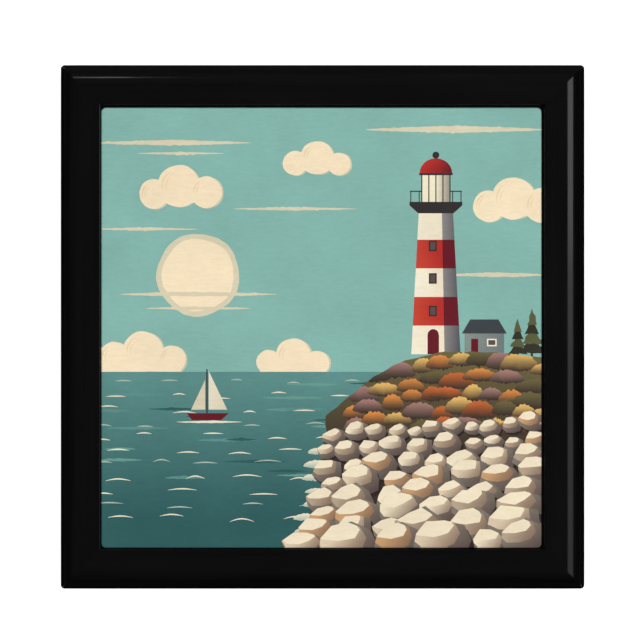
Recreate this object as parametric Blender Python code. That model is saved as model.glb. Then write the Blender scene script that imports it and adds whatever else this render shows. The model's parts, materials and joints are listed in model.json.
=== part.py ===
"""Square keepsake box with a ceramic tile set into its hinged lid.

Metres, +Z up. The origin lies on the resting plane under the middle of the box.
The front is -Y. The lid turns about an axis along X, near the top of the back wall.
"""

import math

import bmesh
import bpy
from mathutils import Vector

# Driving dimensions
BOX_SIDE = 0.1815
BOX_HEIGHT = 0.072
PARTING_HEIGHT = 0.050
CORNER_RADIUS = 0.0013
GAP = 0.0003
ARRIS = 0.0005

# Lid
RAIL_WIDTH = 0.0139
ROUND_OVER = 0.0065
INNER_ARRIS = 0.0006
TILE_SIDE = 0.1524
TILE_THICKNESS = 0.006
TILE_SINK = 0.0003
TILE_CORNER_RADIUS = 0.0016
TILE_EDGE = 0.0006
TILE_OFFSET = (-0.0004, -0.0003)
PAD_SIDE = 0.030
PAD_THICKNESS = 0.001
PAD_SPACING = 0.100
PANEL_THICKNESS = 0.004
GROOVE_DEPTH = 0.0042

# Base
WALL_THICKNESS = 0.0127
FOOT_HEIGHT = 0.002
FOOT_RADIUS = 0.0045
FOOT_INSET = 0.0078
FOOT_ROUND = 0.0025
SKIRT = 0.0037
LINING = 0.0015
WALL_LINING = 0.0012
LINING_DROP = 0.0015

# Hinges
HINGE_SPACING = 0.104
HINGE_LENGTH = 0.025
HINGE_INSET = 0.003
OPEN_ANGLE = math.radians(100.0)
STOP_SLACK = math.radians(1.0)
LEAF_WIDTH = 0.0075
LEAF_THICKNESS = 0.001
KNUCKLES = 5
KNUCKLE_RADIUS = 0.0016
PIN_RADIUS = 0.0007
HARDWARE_GAP = 0.0001
BARREL_CLEARANCE = 0.0004
SEAM_TURN = 0.01  # degrees
SCREW_SPACING = 0.014
SCREW_REACH = 0.0047
SCREW_HEAD_RADIUS = 0.0015
SCREW_RADIUS = 0.0008
SCREW_LENGTH = 0.008

# Heights and half widths that follow from them
HALF_SIDE = BOX_SIDE / 2
WALL_BOTTOM = FOOT_HEIGHT + GAP
LID_BOTTOM = PARTING_HEIGHT + GAP
TILE_TOP = BOX_HEIGHT - TILE_SINK
TILE_BOTTOM = TILE_TOP - TILE_THICKNESS
PAD_BOTTOM = TILE_BOTTOM - GAP - PAD_THICKNESS
LID_PANEL_TOP = PAD_BOTTOM - GAP
LID_PANEL_BOTTOM = LID_PANEL_TOP - PANEL_THICKNESS
BASE_PANEL_BOTTOM = WALL_BOTTOM + SKIRT + GAP
BASE_PANEL_TOP = BASE_PANEL_BOTTOM + PANEL_THICKNESS
FLOOR_TOP = BASE_PANEL_TOP + GAP + LINING
HINGE_Y = HALF_SIDE - HINGE_INSET
HINGE_Z = PARTING_HEIGHT + GAP / 2
BEVEL_ANGLE = (OPEN_ANGLE + STOP_SLACK) / 2
BORE_RADIUS = PIN_RADIUS + HARDWARE_GAP

SIDES = {"front": 0, "right": 1, "back": 2, "left": 3}


# Tools


def clear_scene():
    for old in list(bpy.data.objects):
        bpy.data.objects.remove(old)


def make_material(name, colour, roughness, metallic=0.0):
    material = bpy.data.materials.new(name)
    material.use_nodes = True
    shader = material.node_tree.nodes["Principled BSDF"]
    shader.inputs["Base Color"].default_value = (*colour, 1.0)
    shader.inputs["Roughness"].default_value = roughness
    shader.inputs["Metallic"].default_value = metallic
    return material


def make_object(name, bm, material=None, location=(0, 0, 0), parent=None):
    """Turn a bmesh into an object at a world location, under an unrotated parent."""
    bmesh.ops.recalc_face_normals(bm, faces=bm.faces)
    mesh = bpy.data.meshes.new(name)
    bm.to_mesh(mesh)
    bm.free()
    piece = bpy.data.objects.new(name, mesh)
    bpy.context.scene.collection.objects.link(piece)
    piece.location = location
    if parent:
        piece.parent = parent
        piece.location = Vector(location) - parent.location
    if material:
        mesh.materials.append(material)
    return piece


def make_cutter(name, bm, location=(0, 0, 0)):
    cutter = make_object(name, bm, location=location)
    cutter.hide_render = True
    cutter.display_type = "WIRE"
    return cutter


def cut(piece, cutter):
    boolean = piece.modifiers.new(cutter.name, "BOOLEAN")
    boolean.operation = "DIFFERENCE"
    boolean.solver = "EXACT"
    boolean.object = cutter


def shade_smooth(piece):
    piece.data.shade_smooth()
    piece.data.set_sharp_from_angle(angle=math.radians(35.0))


def arc(centre, radius, start, end, segments):
    """Points on an arc in a plane, with angles in degrees."""
    points = []
    for step in range(segments + 1):
        angle = math.radians(start + (end - start) * step / segments)
        points.append(
            (
                centre[0] + radius * math.cos(angle),
                centre[1] + radius * math.sin(angle),
            )
        )
    return points


def box(size):
    bm = bmesh.new()
    bmesh.ops.create_cube(bm, size=1.0)
    bmesh.ops.scale(bm, vec=size, verts=bm.verts)
    return bm


def prism(outline, axis, length):
    """Extrude a closed outline of 3D points by length along an axis vector."""
    bm = bmesh.new()
    face = bm.faces.new([bm.verts.new(point) for point in outline])
    extruded = bmesh.ops.extrude_face_region(bm, geom=[face])["geom"]
    moved = [item for item in extruded if isinstance(item, bmesh.types.BMVert)]
    bmesh.ops.translate(bm, vec=Vector(axis) * length, verts=moved)
    return bm


def prism_along_x(outline, length):
    """A prism centred on x = 0 from an outline of (y, z) points."""
    return prism([(-length / 2, y, z) for y, z in outline], (1, 0, 0), length)


def turned(profile, segments=24):
    """Turn (radius, z) points about Z. The profile starts and ends on the axis."""
    bm = bmesh.new()
    verts = [bm.verts.new((radius, 0, z)) for radius, z in profile]
    edges = [bm.edges.new(pair) for pair in zip(verts, verts[1:])]
    bmesh.ops.spin(
        bm,
        geom=verts + edges,
        axis=(0, 0, 1),
        cent=(0, 0, 0),
        steps=segments,
        angle=math.tau,
    )
    bmesh.ops.remove_doubles(bm, verts=bm.verts, dist=1e-6)
    return bm


# Mitred frames: the lid's rails and the base's walls


def corner_point(depth, angle):
    """Where the outline's corner stands, at a depth inside the outline.

    The angle runs from 0, where the straight side ends, to 45 degrees, on the mitre.
    """
    if depth >= CORNER_RADIUS:
        return HALF_SIDE - depth, HALF_SIDE - depth
    centre = HALF_SIDE - CORNER_RADIUS
    radius = CORNER_RADIUS - depth
    return centre + radius * math.sin(angle), centre + radius * math.cos(angle)


def mitred_side(profile):
    """The front side of a square frame, from a profile of (depth, z) points."""
    bm = bmesh.new()
    angles = [math.radians(degrees) for degrees in (45, 30, 15, 0)]
    mitre_shift = GAP / 2 * math.sqrt(2)
    sections = []
    for end in (-1, 1):
        for angle in angles if end < 0 else reversed(angles):
            section = []
            for depth, z in profile:
                along, outward = corner_point(depth, angle)
                section.append(bm.verts.new((end * (along - mitre_shift), -outward, z)))
            sections.append(section)
    for here, there in zip(sections, sections[1:]):
        for index in range(len(profile)):
            after = (index + 1) % len(profile)
            bm.faces.new((here[index], here[after], there[after], there[index]))
    bm.faces.new(sections[0])
    bm.faces.new(sections[-1])
    bmesh.ops.remove_doubles(bm, verts=bm.verts, dist=1e-6)
    return bm


def mitred_frame(prefix, profile, material, parent=None):
    frame = {}
    for side, quarter_turns in SIDES.items():
        piece = make_object(f"{prefix}_{side}", mitred_side(profile), material, parent=parent)
        piece.rotation_euler.z = quarter_turns * math.pi / 2
        shade_smooth(piece)
        frame[side] = piece
    return frame


def rail_profile():
    """Lid moulding: round-over outside, groove for the panel inside."""
    centre = (ROUND_OVER, BOX_HEIGHT - ROUND_OVER)
    inner_centre = (RAIL_WIDTH - INNER_ARRIS, BOX_HEIGHT - INNER_ARRIS)
    groove_top = LID_PANEL_TOP + GAP
    groove_bottom = LID_PANEL_BOTTOM - GAP
    groove_back = RAIL_WIDTH - GROOVE_DEPTH
    return [
        (ARRIS, LID_BOTTOM),
        (0, LID_BOTTOM + ARRIS),
        *arc(centre, ROUND_OVER, 180, 90, 8),
        *arc(inner_centre, INNER_ARRIS, 90, 0, 2),
        (RAIL_WIDTH, groove_top),
        (groove_back, groove_top),
        (groove_back, groove_bottom),
        (RAIL_WIDTH, groove_bottom),
        (RAIL_WIDTH, LID_BOTTOM),
    ]


def wall_profile():
    """Base wall: eased foot edge outside, groove for the bottom board inside."""
    groove_top = BASE_PANEL_TOP + GAP
    groove_bottom = BASE_PANEL_BOTTOM - GAP
    groove_back = WALL_THICKNESS - GROOVE_DEPTH
    return [
        *arc((FOOT_ROUND, WALL_BOTTOM + FOOT_ROUND), FOOT_ROUND, 270, 180, 4),
        (0, PARTING_HEIGHT - ARRIS),
        (ARRIS, PARTING_HEIGHT),
        (WALL_THICKNESS, PARTING_HEIGHT),
        (WALL_THICKNESS, groove_top),
        (groove_back, groove_top),
        (groove_back, groove_bottom),
        (WALL_THICKNESS, groove_bottom),
        (WALL_THICKNESS, WALL_BOTTOM),
    ]


def cut_back_bevels(pieces):
    """One wedge bevels both back edges, which meet when the lid is fully open."""
    reach = HINGE_INSET * 2
    drop = reach * math.tan(BEVEL_ANGLE)
    wedge = [
        (HINGE_Y, HINGE_Z),
        (HINGE_Y + reach, HINGE_Z - drop),
        (HINGE_Y + reach, HINGE_Z + drop),
    ]
    cutter = make_cutter("back_bevel_cutter", prism_along_x(wedge, BOX_SIDE * 1.2))
    for piece in pieces:
        cut(piece, cutter)


# Lid


def rounded_square(side, radius, z, segments=4):
    centre = side / 2 - radius
    corners = [(centre, centre), (-centre, centre), (-centre, -centre), (centre, -centre)]
    points = []
    for number, corner in enumerate(corners):
        points += arc(corner, radius, number * 90, number * 90 + 90, segments)
    return [(x, y, z) for x, y in points]


def build_tile(material, parent):
    """A tile with rounded corners and an eased top edge. Its origin is on its top face."""
    loops = [
        rounded_square(TILE_SIDE, TILE_CORNER_RADIUS, -TILE_THICKNESS),
        rounded_square(TILE_SIDE, TILE_CORNER_RADIUS, -TILE_EDGE),
    ]
    for degrees in (45, 90):
        inset = TILE_EDGE * (1 - math.cos(math.radians(degrees)))
        height = TILE_EDGE * (math.sin(math.radians(degrees)) - 1)
        loops.append(
            rounded_square(TILE_SIDE - 2 * inset, TILE_CORNER_RADIUS - inset, height)
        )
    bm = bmesh.new()
    rings = [[bm.verts.new(point) for point in loop] for loop in loops]
    for lower, upper in zip(rings, rings[1:]):
        for index in range(len(lower)):
            after = (index + 1) % len(lower)
            bm.faces.new((lower[index], lower[after], upper[after], upper[index]))
    bm.faces.new(rings[0])
    bm.faces.new(rings[-1])
    tile = make_object("tile", bm, material, (*TILE_OFFSET, TILE_TOP), parent)
    shade_smooth(tile)


def build_lid(materials, pivot):
    rails = mitred_frame("lid_rail", rail_profile(), materials["lacquer"], pivot)
    opening = BOX_SIDE - 2 * RAIL_WIDTH
    panel_side = opening + 2 * (GROOVE_DEPTH - GAP)
    make_object(
        "lid_panel",
        box((panel_side, panel_side, PANEL_THICKNESS)),
        materials["board"],
        (0, 0, (LID_PANEL_TOP + LID_PANEL_BOTTOM) / 2),
        pivot,
    )
    build_tile(materials["tile"], pivot)
    for y, row in ((-1, "front"), (1, "back")):
        for x, column in ((-1, "left"), (1, "right")):
            place = (x * PAD_SPACING / 2, y * PAD_SPACING / 2, PAD_BOTTOM + PAD_THICKNESS / 2)
            pad = box((PAD_SIDE, PAD_SIDE, PAD_THICKNESS))
            make_object(f"tile_pad_{row}_{column}", pad, materials["foam"], place, pivot)
    lining_side = opening - 2 * GAP
    make_object(
        "lid_lining",
        box((lining_side, lining_side, LINING)),
        materials["felt"],
        (0, 0, LID_PANEL_BOTTOM - GAP - LINING / 2),
        pivot,
    )
    return rails


# Base


def build_foot(name, material, place):
    profile = [(0, 0), (FOOT_RADIUS, 0), (FOOT_RADIUS, FOOT_HEIGHT), (0, FOOT_HEIGHT)]
    foot = make_object(name, turned(profile), material, place)
    shade_smooth(foot)


def build_base(materials):
    walls = mitred_frame("base_wall", wall_profile(), materials["lacquer"])
    opening = BOX_SIDE - 2 * WALL_THICKNESS
    panel_side = opening + 2 * (GROOVE_DEPTH - GAP)
    make_object(
        "base_panel",
        box((panel_side, panel_side, PANEL_THICKNESS)),
        materials["board"],
        (0, 0, (BASE_PANEL_TOP + BASE_PANEL_BOTTOM) / 2),
    )
    floor_side = opening - 2 * GAP
    make_object(
        "floor_lining",
        box((floor_side, floor_side, LINING)),
        materials["felt"],
        (0, 0, FLOOR_TOP - LINING / 2),
    )
    bottom = FLOOR_TOP + GAP
    height = PARTING_HEIGHT - LINING_DROP - bottom
    offset = opening / 2 - GAP - WALL_LINING / 2
    for side, quarter_turns in SIDES.items():
        across = quarter_turns % 2 == 0
        length = floor_side if across else floor_side - 2 * (WALL_LINING + GAP)
        lining = make_object(
            f"wall_lining_{side}", box((length, WALL_LINING, height)), materials["felt"]
        )
        angle = quarter_turns * math.pi / 2
        lining.location = (
            offset * math.sin(angle),
            -offset * math.cos(angle),
            bottom + height / 2,
        )
        lining.rotation_euler.z = angle
    reach = HALF_SIDE - FOOT_INSET
    for y, row in ((-1, "front"), (1, "back")):
        for x, column in ((-1, "left"), (1, "right")):
            build_foot(f"foot_{row}_{column}", materials["felt"], (x * reach, y * reach, 0))
    return walls


# Hinges. In a hinge's own frame the pin's axis is X, and -Y runs along the leaves.


def leaf_outline(side):
    """Leaf and knuckle in one (y, z) outline. Side is -1 below the parting and 1 above."""
    near = side * GAP / 2
    far = side * (GAP / 2 + LEAF_THICKNESS)
    start = math.degrees(math.asin(abs(near) / KNUCKLE_RADIUS))
    end = 360 - math.degrees(math.asin(abs(far) / KNUCKLE_RADIUS))
    points = [(-LEAF_WIDTH, far), (-LEAF_WIDTH, near)]
    for across, up in arc((0, 0), KNUCKLE_RADIUS, -start, end - SEAM_TURN, 24):
        points.append((-across, -side * up))
    return points


def knuckle_gaps(first):
    """Boxes over every other knuckle, where the other leaf's knuckles go."""
    bm = bmesh.new()
    pitch = HINGE_LENGTH / KNUCKLES
    depth = 2 * (KNUCKLE_RADIUS + GAP)
    for knuckle in range(first, KNUCKLES, 2):
        made = bmesh.ops.create_cube(bm, size=1.0)
        low = pitch * knuckle - HINGE_LENGTH / 2 - HARDWARE_GAP
        high = low + pitch + 2 * HARDWARE_GAP
        if knuckle == 0:
            low -= pitch
        if knuckle == KNUCKLES - 1:
            high += pitch
        bmesh.ops.scale(bm, vec=(high - low, depth, depth), verts=made["verts"])
        bmesh.ops.translate(bm, vec=((high + low) / 2, 0, 0), verts=made["verts"])
    return bm


def screw_profile(radial_gap=0.0, end_gap=0.0):
    """A countersunk screw pointing down, with the middle of its head at the origin."""
    head = SCREW_HEAD_RADIUS + radial_gap
    shank = SCREW_RADIUS + radial_gap
    neck = -(head - shank)
    return [
        (0, end_gap),
        (head, end_gap),
        (head, 0),
        (shank, neck),
        (shank, -SCREW_LENGTH + 2 * SCREW_RADIUS),
        (0, -SCREW_LENGTH - end_gap),
    ]


def rod(radius, length):
    return prism_along_x(arc((0, 0), radius, 0, 345, 23), length)


def build_leaf(hinge, side, body, wood, materials, place, parent, bore):
    """One leaf with its two screws, let into the wood it holds."""
    name = f"{hinge}_{body}_leaf"
    leaf = make_object(
        name, prism_along_x(leaf_outline(side), HINGE_LENGTH), materials["brass"], place, parent
    )
    gaps = make_cutter(f"{name}_gaps", knuckle_gaps(1 if side < 0 else 0), place)
    cut(leaf, bore)
    cut(leaf, gaps)
    depth = LEAF_THICKNESS + 2 * GAP
    width = LEAF_WIDTH + GAP
    mortise = make_cutter(
        f"{name}_mortise",
        box((HINGE_LENGTH + 2 * GAP, width, depth)),
        (place[0], place[1] - width / 2, place[2] + side * (depth + GAP) / 2),
    )
    cut(wood, mortise)
    for end, end_name in ((-1, "left"), (1, "right")):
        spot = (
            place[0] + end * SCREW_SPACING / 2,
            place[1] - SCREW_REACH,
            place[2] + side * (GAP / 2 + HARDWARE_GAP),
        )
        turn = math.pi if side > 0 else 0
        screw_name = f"{hinge}_{body}_screw_{end_name}"
        screw = make_object(
            screw_name, turned(screw_profile(), 16), materials["brass"], spot, parent
        )
        hole = make_cutter(
            f"{screw_name}_hole", turned(screw_profile(HARDWARE_GAP, GAP), 16), spot
        )
        for item in (screw, hole):
            item.rotation_euler.x = turn
        cut(leaf, hole)
        cut(wood, hole)
        shade_smooth(screw)
    shade_smooth(leaf)


def build_hinge(name, x, materials, pivot, base_wood, lid_wood):
    place = (x, HINGE_Y, HINGE_Z)
    bore = make_cutter(f"{name}_bore", rod(BORE_RADIUS, HINGE_LENGTH * 1.2), place)
    barrel = make_cutter(
        f"{name}_barrel_clearance",
        rod(KNUCKLE_RADIUS + BARREL_CLEARANCE, HINGE_LENGTH + 2 * GAP),
        place,
    )
    for wood in (base_wood, lid_wood):
        cut(wood, barrel)
    build_leaf(name, -1, "base", base_wood, materials, place, None, bore)
    build_leaf(name, 1, "lid", lid_wood, materials, place, pivot, bore)
    pin = make_object(f"{name}_pin", rod(PIN_RADIUS, HINGE_LENGTH), materials["brass"], place)
    shade_smooth(pin)


def build():
    clear_scene()
    materials = {
        "lacquer": make_material("lacquer", (0.008, 0.008, 0.009), 0.12),
        "tile": make_material("tile", (0.32, 0.50, 0.44), 0.12),
        "board": make_material("board", (0.020, 0.018, 0.016), 0.8),
        "foam": make_material("foam", (0.80, 0.80, 0.76), 0.9),
        "felt": make_material("felt", (0.012, 0.012, 0.013), 0.95),
        "brass": make_material("brass", (0.80, 0.58, 0.25), 0.25, 1.0),
    }
    pivot = bpy.data.objects.new("lid_pivot", None)
    bpy.context.scene.collection.objects.link(pivot)
    pivot.location = (0, HINGE_Y, HINGE_Z)
    walls = build_base(materials)
    rails = build_lid(materials, pivot)
    cut_back_bevels(
        [frame[side] for frame in (walls, rails) for side in ("back", "left", "right")]
    )
    for sign, name in ((-1, "hinge_left"), (1, "hinge_right")):
        x = sign * HINGE_SPACING / 2
        build_hinge(name, x, materials, pivot, walls["back"], rails["back"])


build()
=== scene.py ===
"""Looks of the tile-top keepsake box: lacquer, printed tile, felt and brass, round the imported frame."""

import json
import math
import random

import bmesh
import bpy
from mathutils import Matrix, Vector, noise
from mathutils.geometry import delaunay_2d_cdt


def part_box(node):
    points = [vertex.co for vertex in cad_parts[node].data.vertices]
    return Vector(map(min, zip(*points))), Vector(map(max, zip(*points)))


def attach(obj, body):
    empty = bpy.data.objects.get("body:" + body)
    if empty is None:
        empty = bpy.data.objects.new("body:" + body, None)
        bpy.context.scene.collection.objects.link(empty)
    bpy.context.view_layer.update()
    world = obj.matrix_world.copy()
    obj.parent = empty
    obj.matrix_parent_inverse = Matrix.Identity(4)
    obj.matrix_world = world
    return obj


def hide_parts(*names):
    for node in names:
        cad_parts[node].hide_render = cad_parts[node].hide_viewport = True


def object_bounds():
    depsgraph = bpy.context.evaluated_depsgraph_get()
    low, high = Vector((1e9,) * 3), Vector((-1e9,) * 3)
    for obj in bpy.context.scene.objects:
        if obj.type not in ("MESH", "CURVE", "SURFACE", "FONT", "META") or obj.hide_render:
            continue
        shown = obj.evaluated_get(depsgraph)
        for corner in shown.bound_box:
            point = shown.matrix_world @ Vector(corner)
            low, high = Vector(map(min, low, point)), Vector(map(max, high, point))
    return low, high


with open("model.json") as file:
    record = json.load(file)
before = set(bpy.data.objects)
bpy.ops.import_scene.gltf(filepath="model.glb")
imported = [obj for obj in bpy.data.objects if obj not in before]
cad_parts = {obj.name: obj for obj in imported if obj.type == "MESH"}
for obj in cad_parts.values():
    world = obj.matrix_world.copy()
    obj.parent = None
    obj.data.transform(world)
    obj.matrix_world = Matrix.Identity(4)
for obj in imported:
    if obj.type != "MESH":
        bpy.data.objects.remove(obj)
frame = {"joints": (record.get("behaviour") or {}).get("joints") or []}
cad_low, cad_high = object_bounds()

# The frame's own measures
HALF_SIDE = cad_high.x
LID_LOW, LID_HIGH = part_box("lid_rail_front")
WALL_LOW, WALL_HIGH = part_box("base_wall_front")
RAIL_WIDTH = LID_HIGH.y - LID_LOW.y
WALL_THICKNESS = WALL_HIGH.y - WALL_LOW.y
LID_BOTTOM, LID_TOP = LID_LOW.z, LID_HIGH.z
WALL_BOTTOM, WALL_TOP = WALL_LOW.z, WALL_HIGH.z
HINGE = Vector(frame["joints"][0]["pos_m"])
OPEN_ANGLE = math.radians(frame["joints"][0]["range_deg"][1])

# Sizes of the visible shapes, in metres
CORNER_RADIUS = 0.0013
ROUND_OVER = 0.0065
INNER_ARRIS = 0.0004
ARRIS = 0.0005
FOOT_ROUND = 0.0025
GROOVE_DEPTH = 0.0042
CREASE = 0.00012
HAIR = 0.00001
STOP_SLACK = math.radians(1.0)
SMOOTH_ANGLE = 35.0
WELD = 1e-6
FINE_WELD = 1e-7
GAP = 0.0003
GROOVE_PLAY = 0.0002
TILE_EDGE = 0.0006
TILE_CORNER_RADIUS = 0.0016
PRINTED_LEVELS = 6
CANVAS_HALF = 50
CANVAS_WELD = 1e-4
FELT_NAP = 0.00012
FELT_CELL = 0.0022
BOARD_EDGE = 0.0004
PAD_EDGE = 0.0002
BRASS_EDGE = 0.00006
KNUCKLES = 5
KNUCKLE_RADIUS = 0.0016
BARREL_CLEARANCE = 0.0004
LEAF_WIDTH = 0.0075
LEAF_THICKNESS = 0.001
LEAF_CORNER = 0.0012
HARDWARE_GAP = 0.0001
SCREW_HEAD_RADIUS = 0.0015
SCREW_RADIUS = 0.0008
SCREW_LENGTH = 0.008
THREAD_PITCH = 0.0006
SCREW_EASE = 0.00012
CROSS_LENGTH = 0.0017
CROSS_WIDTH = 0.0004
CROSS_DEPTH = 0.0005

# The view and the light
VIEW_DISTANCE = 4.0
VIEW_WIDTH = 0.2229
VIEW_CENTRE = (-0.0002, 0.0017)
FILL_RADIANCE = 1.75
FLOOR_GLOW = 0.7
FLOOR_REACH = 12.0
FLOOR_DROP = 0.0002
BACKDROP = 0.9
CEILING_GLOW = 0.05
CEILING_SLOPE = 0.02
CEILING_REACH = 0.12
LOW_GLOW = 0.45
BAND_DROP = 0.22
BAND_FALL = 2.4
CORNER_GAIN = 1.9
CORNER_FLOOR = 0.02
BACK_GLOW = 0.03

SIDES = {"front": 0, "right": 1, "back": 2, "left": 3}


# Mesh tools


def arc(centre, radius, start, end, segments):
    points = []
    for step in range(segments + 1):
        angle = math.radians(start + (end - start) * step / segments)
        points.append((centre[0] + radius * math.cos(angle), centre[1] + radius * math.sin(angle)))
    return points


def make_object(name, bm, material=None, location=(0, 0, 0), turn_z=0.0, smooth=SMOOTH_ANGLE):
    bmesh.ops.remove_doubles(bm, verts=bm.verts, dist=FINE_WELD)
    bmesh.ops.recalc_face_normals(bm, faces=bm.faces)
    mesh = bpy.data.meshes.new(name)
    bm.to_mesh(mesh)
    bm.free()
    piece = bpy.data.objects.new(name, mesh)
    bpy.context.scene.collection.objects.link(piece)
    piece.location = location
    piece.rotation_euler.z = turn_z
    if material:
        mesh.materials.append(material)
    mesh.shade_smooth()
    mesh.set_sharp_from_angle(angle=math.radians(smooth))
    return piece


def settle(piece):
    """Apply the piece's modifiers to its mesh."""
    bpy.context.view_layer.update()
    evaluated = piece.evaluated_get(bpy.context.evaluated_depsgraph_get())
    mesh = bpy.data.meshes.new_from_object(evaluated)
    piece.modifiers.clear()
    piece.data = mesh
    mesh.shade_smooth()
    mesh.set_sharp_from_angle(angle=math.radians(SMOOTH_ANGLE))


def bevel(piece, width, segments=2, angle=40.0):
    modifier = piece.modifiers.new("edges", "BEVEL")
    modifier.width = width
    modifier.segments = segments
    modifier.limit_method = "ANGLE"
    modifier.angle_limit = math.radians(angle)


def even_normals(piece):
    """Flat faces keep flat normals where they meet rounded edges."""
    modifier = piece.modifiers.new("normals", "WEIGHTED_NORMAL")
    modifier.keep_sharp = True
    modifier.weight = 90


def cut(piece, cutters):
    for cutter in cutters:
        boolean = piece.modifiers.new(cutter.name, "BOOLEAN")
        boolean.operation = "DIFFERENCE"
        boolean.solver = "EXACT"
        boolean.object = cutter


def discard(cutters):
    for cutter in cutters:
        bpy.data.objects.remove(cutter)


def extruded(outline, axis, length):
    """A prism: a flat outline of points, drawn out along an axis."""
    bm = bmesh.new()
    face = bm.faces.new([bm.verts.new(point) for point in outline])
    made = bmesh.ops.extrude_face_region(bm, geom=[face])["geom"]
    moved = [item for item in made if isinstance(item, bmesh.types.BMVert)]
    bmesh.ops.translate(bm, vec=Vector(axis) * length, verts=moved)
    return bm


def along_x(outline, length):
    """A prism along X, from an outline of (y, z) points."""
    return extruded([(-length / 2, y, z) for y, z in outline], (1, 0, 0), length)


def turned(profile, segments=48):
    """Turn (radius, z) points about Z. The profile starts and ends on the axis."""
    bm = bmesh.new()
    verts = [bm.verts.new((radius, 0, z)) for radius, z in profile]
    edges = [bm.edges.new(pair) for pair in zip(verts, verts[1:])]
    turn = {"axis": (0, 0, 1), "cent": (0, 0, 0), "angle": math.tau, "steps": segments}
    bmesh.ops.spin(bm, geom=verts + edges, **turn)
    bmesh.ops.remove_doubles(bm, verts=bm.verts, dist=WELD)
    return bm


def add_box(bm, size, across=0.0):
    """A box round the origin, or off to one side along X."""
    made = bmesh.ops.create_cube(bm, size=1.0)["verts"]
    bmesh.ops.scale(bm, vec=size, verts=made)
    bmesh.ops.translate(bm, vec=(across, 0, 0), verts=made)


def box(size):
    bm = bmesh.new()
    add_box(bm, size)
    return bm


def place_of(node):
    """Middle and size of a CAD node."""
    low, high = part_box(node)
    return (low + high) / 2, high - low


def stand_for(piece, node, body):
    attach(piece, body)
    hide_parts(node)


# Material tools


class Shader:
    """A material under construction: its nodes, its links and its Principled shader."""

    def __init__(self, name):
        self.material = bpy.data.materials.new(name)
        self.material.use_nodes = True
        self.nodes = self.material.node_tree.nodes
        self.links = self.material.node_tree.links
        self.principled = self.nodes["Principled BSDF"]

    def set(self, **values):
        for key, value in values.items():
            self.principled.inputs[key.replace("_", " ")].default_value = value

    def link(self, source, target):
        self.links.new(source, target)

    def place(self, scale=(1, 1, 1)):
        """Object coordinates, stretched."""
        coords = self.nodes.new("ShaderNodeTexCoord")
        mapping = self.nodes.new("ShaderNodeMapping")
        mapping.inputs["Scale"].default_value = scale
        self.link(coords.outputs["Object"], mapping.inputs["Vector"])
        return mapping.outputs["Vector"]

    def noise(self, vector, scale, detail=4.0, roughness=0.5, distortion=0.0):
        node = self.nodes.new("ShaderNodeTexNoise")
        node.inputs["Scale"].default_value = scale
        node.inputs["Detail"].default_value = detail
        node.inputs["Roughness"].default_value = roughness
        node.inputs["Distortion"].default_value = distortion
        self.link(vector, node.inputs["Vector"])
        return node.outputs["Fac"]

    def ramp(self, factor, stops):
        node = self.nodes.new("ShaderNodeValToRGB")
        ramp = node.color_ramp
        while len(ramp.elements) < len(stops):
            ramp.elements.new(0.5)
        for element, (position, colour) in zip(ramp.elements, stops):
            element.position = position
            element.color = (*colour, 1.0)
        self.link(factor, node.inputs["Fac"])
        return node.outputs["Color"]

    def span(self, value, low, high, new_low, new_high):
        """A value's range, mapped to another one."""
        node = self.nodes.new("ShaderNodeMapRange")
        numbers = {"From Min": low, "From Max": high, "To Min": new_low, "To Max": new_high}
        for key, number in numbers.items():
            node.inputs[key].default_value = number
        self.link(value, node.inputs["Value"])
        return node.outputs["Result"]

    def blend(self, how, first, second):
        """Both colours, or a colour and a value, blended in full."""
        node = self.nodes.new("ShaderNodeMix")
        node.data_type = "RGBA"
        node.blend_type = how
        node.inputs["Factor"].default_value = 1.0
        self.link(first, node.inputs["A"])
        self.link(second, node.inputs["B"])
        return node.outputs["Result"]

    def bump(self, height, strength, distance, under=None):
        node = self.nodes.new("ShaderNodeBump")
        node.inputs["Strength"].default_value = strength
        node.inputs["Distance"].default_value = distance
        self.link(height, node.inputs["Height"])
        if under:
            self.link(under, node.inputs["Normal"])
        return node.outputs["Normal"]

    def wire(self, **sources):
        for key, source in sources.items():
            self.link(source, self.principled.inputs[key.replace("_", " ")])


def grey(value):
    return (value, value, value)


def lacquer_material():
    """Black piano lacquer over open grain that runs along each rail's own X."""
    shader = Shader("black_lacquer")
    grain = shader.noise(shader.place((14, 420, 420)), 1.0, 6.0, 0.62)
    pores = shader.noise(shader.place((60, 1500, 1500)), 1.0, 3.0, 0.5)
    peel = shader.noise(shader.place(), 260.0, 2.0, 0.4)
    smudge = shader.noise(shader.place(), 22.0, 3.0, 0.55)
    black, dark, sheen = (0.0006, 0.0006, 0.0007), (0.0016, 0.0016, 0.0018), (0.0042, 0.0042, 0.0046)
    shader.wire(
        Base_Color=shader.ramp(grain, [(0.35, black), (0.6, dark), (0.8, sheen)]),
        Roughness=shader.span(smudge, 0.35, 0.7, 0.10, 0.19),
        Normal=shader.bump(pores, 0.10, 0.00005, shader.bump(peel, 0.05, 0.0001)),
    )
    shader.set(IOR=1.5, Coat_Weight=0.35, Coat_Roughness=0.06)
    return shader.material


def felt_material():
    shader = Shader("black_felt")
    fibre = shader.noise(shader.place(), 2600.0, 4.0, 0.7, 1.5)
    tuft = shader.noise(shader.place(), 320.0, 5.0, 0.7, 2.0)
    shader.wire(
        Base_Color=shader.ramp(fibre, [(0.3, grey(0.004)), (0.55, grey(0.012)), (0.75, grey(0.045))]),
        Roughness=shader.span(tuft, 0.3, 0.7, 0.85, 1.0),
        Normal=shader.bump(fibre, 0.7, 0.0003, shader.bump(tuft, 0.5, 0.0005)),
    )
    shader.set(Specular_IOR_Level=0.2, Sheen_Weight=0.35, Sheen_Roughness=0.5)
    return shader.material


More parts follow.
